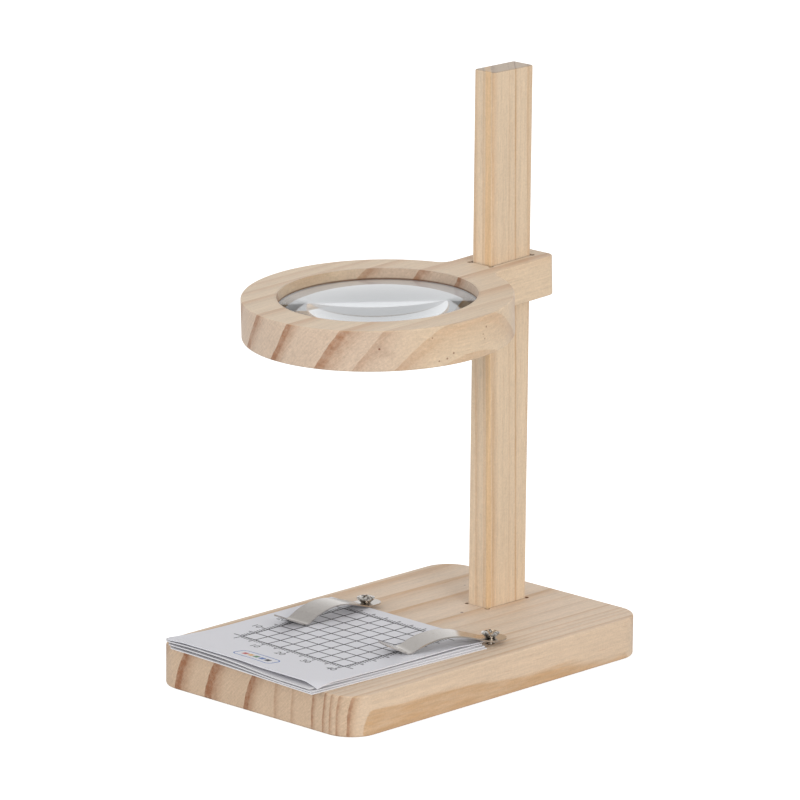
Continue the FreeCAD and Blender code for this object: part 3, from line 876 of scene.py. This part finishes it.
class Print:
    """Ink that lies on the printed card and follows its bend."""

    # How far the ink stands above the card's face and reaches below it.
    above = 0.014
    below = 0.02

    def __init__(self, place, lift):
        self.place = place
        self.lift = lift
        self.points = []
        self.faces = []

    def on_card(self, s, t, height):
        return self.place.at(s, t, self.place.top + self.lift(s, t) + height)

    def bar(self, start, end, width, colour=DARK):
        """A straight line of ink, one closed strip with cross-sections along it, so that it
        can bend with the card."""
        start, end = Vector(start), Vector(end)
        run = end - start
        aside = Vector((-run.y, run.x)).normalized() * width / 2
        count = max(1, math.ceil(run.length / INK_STRETCH))
        first = len(self.points)
        for k in range(count + 1):
            middle = start + run * k / count
            for side, height in ((1, self.above), (-1, self.above), (-1, -self.below),
                                 (1, -self.below)):
                spot = middle + aside * side
                self.points.append(self.on_card(spot.x, spot.y, height))
        for k in range(count):
            row = first + 4 * k
            for side in range(4):
                ahead = (side + 1) % 4
                self.faces.append(((row + side, row + ahead, row + 4 + ahead, row + 4 + side),
                                   colour))
        last = first + 4 * count
        self.faces.append(((first, first + 1, first + 2, first + 3), colour))
        self.faces.append(((last + 3, last + 2, last + 1, last), colour))

    def outline(self, spots, width, colour):
        """A closed line of ink through spots."""
        for spot, following in zip(spots, spots[1:] + spots[:1]):
            self.bar(spot, following, width, colour)

    def patch(self, spots, colour):
        """A filled closed shape."""
        count = len(spots)
        first = len(self.points)
        for height in (self.above, -self.below):
            self.points += [self.on_card(s, t, height) for s, t in spots]
        self.faces.append((tuple(range(first, first + count)), colour))
        self.faces.append((tuple(range(first + 2 * count - 1, first + count - 1, -1)), colour))
        for k in range(count):
            ahead = (k + 1) % count
            self.faces.append(((first + k, first + ahead, first + count + ahead,
                                first + count + k), colour))

    def numeral(self, text, middle, height):
        """Figures in Blender's own font, laid on the card."""
        curve = bpy.data.curves.new("numeral", "FONT")
        curve.body = text
        curve.size = height / FIGURE_SHARE
        curve.align_x = "CENTER"
        curve.align_y = "CENTER"
        curve.resolution_u = 3
        curve.extrude = (self.above + self.below) / 2
        written = linked("numeral", curve)
        mesh = evaluated_mesh(written)
        first = len(self.points)
        for vertex in mesh.vertices:
            level = self.above if vertex.co.z > 0 else -self.below
            self.points.append(self.on_card(middle[0] + vertex.co.x, middle[1] + vertex.co.y, level))
        for polygon in mesh.polygons:
            self.faces.append((tuple(first + k for k in polygon.vertices), DARK))
        bpy.data.objects.remove(written)


def print_grid(printed):
    """A square millimetre grid with ticks all round, numbered on two sides."""
    left, front = GRID_CORNER
    side = GRID_CELL * GRID_CELLS
    for k in range(GRID_CELLS + 1):
        offset = k * GRID_CELL
        extra = GRID_OVERRUN if k in (0, GRID_CELLS) else 0.0
        printed.bar((left + offset, front - extra), (left + offset, front + side + extra), GRID_LINE)
        printed.bar((left - extra, front + offset), (left + side + extra, front + offset), GRID_LINE)
    for k in range(1, int(side)):
        at_line = k % GRID_CELL == 0
        reach = LONG_TICK_LENGTH if at_line else TICK_LENGTH
        width = LONG_TICK_LINE if at_line else TICK_LINE
        for edge, out in ((0.0, -reach), (side, reach)):
            printed.bar((left + k, front + edge), (left + k, front + edge + out), width)
            printed.bar((left + edge, front + k), (left + edge + out, front + k), width)
    for k in range(1, 5):
        text = str(10 * k)
        printed.numeral(text, (left + 10 * k - NUMERAL_ASIDE, front - NUMERAL_BELOW), NUMERAL_HEIGHT)
        printed.numeral(text, (left - NUMERAL_LEFT, front + 10 * k), NUMERAL_HEIGHT)


def print_mark(printed):
    """A plain row of colour patches in a rounded frame."""
    middle_s, middle_t = MARK_MIDDLE
    straight_s = MARK_HALF_WIDTH - MARK_ROUNDING
    straight_t = MARK_HALF_HEIGHT - MARK_ROUNDING
    spots = []
    for k in range(MARK_SPOTS):
        turn = 2 * math.pi * k / MARK_SPOTS
        cos, sin = math.cos(turn), math.sin(turn)
        spots.append((middle_s + math.copysign(straight_s, cos) + MARK_ROUNDING * cos,
                      middle_t + math.copysign(straight_t, sin) + MARK_ROUNDING * sin))
    printed.outline(spots, MARK_LINE, BLUE)
    colours = (RED, AMBER, GREEN, BLUE, DARK)
    wide, high = PATCH_SIDES
    row = PATCH_PITCH * (len(colours) - 1) + wide
    bottom, top = middle_t - high / 2, middle_t + high / 2
    for k, colour in enumerate(colours):
        left = middle_s - row / 2 + PATCH_PITCH * k
        right = left + wide
        printed.patch([(left, bottom), (right, bottom), (right, top), (left, top)], colour)


def build_print(inks):
    printed = Print(CardPlace("scale_card"), scale_card_lift)
    print_grid(printed)
    print_mark(printed)
    new_piece("scale_print", printed.points, printed.faces, inks, "scale_card",
              [])


# ---------------------------------------------------------------- CAD nodes that stay

CLIP_BEVEL = 0.07


def dress(node, material, bevel=0.0):
    """A CAD node keeps its mesh and gets a better material, and a bevel where asked."""
    piece = nodes[node]
    piece.data.materials.clear()
    piece.data.materials.append(material)
    if bevel:
        edge = piece.modifiers.new("worn_edges", "BEVEL")
        edge.width = bevel * MM
        edge.segments = 2
        edge.limit_method = "ANGLE"
        edge.angle_limit = math.radians(50)
        edge.harden_normals = False


# ---------------------------------------------------------------- studio

# Places and sizes in the studio are in metres, and lamps are in watts.
FLOOR_REACH = 4.0
FLOOR_DROP = 0.0001
FLOOR_GLOW = 0.76
HORIZON_LIGHT = 1.34
OVERHEAD_LIGHT = 0.76
OVERHEAD_START = 0.85
CAMERA_PLACE = (1.23805, -1.30250, 0.54437)
CAMERA_AZIMUTH = math.radians(43.583)
CAMERA_ELEVATION = math.radians(14.553)
CAMERA_ROLL = math.radians(0.572)
CAMERA_LENS = 299.7
CAMERA_SENSOR = 36.0


def build_floor():
    """A pale floor that glows for the camera alone, so that it doesn't light the object."""
    corners = [(x * FLOOR_REACH, y * FLOOR_REACH, 0) for x, y in ((-1, -1), (1, -1), (1, 1), (-1, 1))]
    mesh = bpy.data.meshes.new("floor")
    mesh.from_pydata(corners, [], [(0, 1, 2, 3)])
    floor = linked("floor", mesh)
    shader = Shader("pale_floor")
    shade = shader.noise(shader.millimetres(), 2.0, 0.5, 0.004)
    glow = shader.add("ShaderNodeLightPath").outputs["Is Camera Ray"]
    shader.set(Base_Color=shader.brighten(tone(206, 206, 206),
                                          shader.math("MULTIPLY_ADD", shade, 0.01, 1.0)),
               Roughness=0.9, Specular_IOR_Level=0.0, Emission_Color=tone(255, 255, 255),
               Emission_Strength=shader.math("MULTIPLY", glow, FLOOR_GLOW))
    mesh.materials.append(shader.material)
    floor.location.z = -FLOOR_DROP


def build_world():
    """A light tent: bright all round at the height of the horizon, dimmer overhead."""
    world = bpy.data.worlds.new("light_tent")
    bpy.context.scene.world = world
    world.use_nodes = True
    tree = world.node_tree
    tree.nodes.clear()
    output = tree.nodes.new("ShaderNodeOutputWorld")
    background = tree.nodes.new("ShaderNodeBackground")
    direction = tree.nodes.new("ShaderNodeTexCoord")
    parts = tree.nodes.new("ShaderNodeSeparateXYZ")
    fall = tree.nodes.new("ShaderNodeMapRange")
    fall.interpolation_type = "SMOOTHSTEP"
    fall.inputs["From Min"].default_value = 0.0
    fall.inputs["From Max"].default_value = OVERHEAD_START
    fall.inputs["To Min"].default_value = HORIZON_LIGHT
    fall.inputs["To Max"].default_value = OVERHEAD_LIGHT
    tree.links.new(direction.outputs["Generated"], parts.inputs[0])
    tree.links.new(parts.outputs["Z"], fall.inputs[0])
    tree.links.new(fall.outputs[0], background.inputs["Strength"])
    tree.links.new(background.outputs[0], output.inputs["Surface"])


def build_light(name, place, target, width, power, colour):
    lamp = bpy.data.lights.new(name, "AREA")
    lamp.shape = "DISK"
    lamp.size = width
    lamp.energy = power
    lamp.color = colour
    light = linked(name, lamp)
    light.location = place
    light.rotation_mode = "QUATERNION"
    light.rotation_quaternion = (Vector(target) - Vector(place)).to_track_quat("-Z", "Y")


def build_camera():
    """A long lens on the right-hand side, looking down a little, and rolled a trifle."""
    aside = Vector((math.cos(CAMERA_AZIMUTH), math.sin(CAMERA_AZIMUTH), 0))
    level = Vector((math.sin(CAMERA_AZIMUTH), -math.cos(CAMERA_AZIMUTH), 0))
    back = math.cos(CAMERA_ELEVATION) * level + Vector((0, 0, math.sin(CAMERA_ELEVATION)))
    above = back.cross(aside)
    right = math.cos(CAMERA_ROLL) * aside + math.sin(CAMERA_ROLL) * above
    upward = math.cos(CAMERA_ROLL) * above - math.sin(CAMERA_ROLL) * aside
    data = bpy.data.cameras.new("camera")
    data.sensor_width = CAMERA_SENSOR
    data.lens = CAMERA_LENS
    data.clip_start = 0.1
    data.clip_end = 20.0
    camera = linked("camera", data)
    camera.matrix_world = Matrix.Translation(CAMERA_PLACE) @ Matrix(
        (right, upward, back)).transposed().to_4x4()
    bpy.context.scene.camera = camera


# ---------------------------------------------------------------- the whole

build_camera()
build_world()
build_floor()
build_light("key", place=(1.45, -0.35, 0.45), target=(0, 0, 0.06), width=0.9, power=8.5,
            colour=(1.0, 0.97, 0.93))
build_light("fill", place=(-0.5, -1.5, 0.45), target=(0, 0, 0.08), width=1.0, power=7.0,
            colour=(0.97, 0.98, 1.0))

dress("base_plate", base_pine())
dress("post", post_pine())
dress("lens_holder", holder_pine())
steel = spring_steel()
for node in ("clip_left", "clip_right"):
    dress(node, steel, CLIP_BEVEL)
dress("lens_retaining_ring", nickel("drawn_wire", colour=tone(170, 170, 172),
                                    worn=tone(128, 124, 120), roughness=0.28))
build_lens(lens_glass(), ground_glass())

bright = nickel("bright_nickel", colour=tone(214, 210, 204), worn=tone(92, 82, 72),
                roughness=0.06)
for node, (head_radius, shank_radius, dome, turn, upside_down) in SCREWS.items():
    build_screw(node, "stand", head_radius, shank_radius, dome, turn, upside_down, bright)

plain = card_stock("plain_card_stock", tone(222, 221, 224))
printed_stock = card_stock("printed_card_stock", tone(220, 220, 226))
for layer in PLAIN_CARD_LIFTS:
    build_card(f"plain_card_{layer}", f"plain_sheet_{layer}", plain_card_lift(layer),
               PLAIN_CARD_WEAR, plain, "plain_cards")
build_card("scale_card", "scale_sheet", scale_card_lift, SCALE_CARD_WEAR, printed_stock,
           "scale_card")
build_print([ink("dark_ink", tone(28, 27, 34)),
             ink("blue_ink", tone(78, 112, 176)),
             ink("red_ink", tone(190, 74, 66)),
             ink("green_ink", tone(84, 130, 92)),
             ink("amber_ink", tone(214, 160, 84))])

bpy.context.scene.view_settings.view_transform = "Standard"
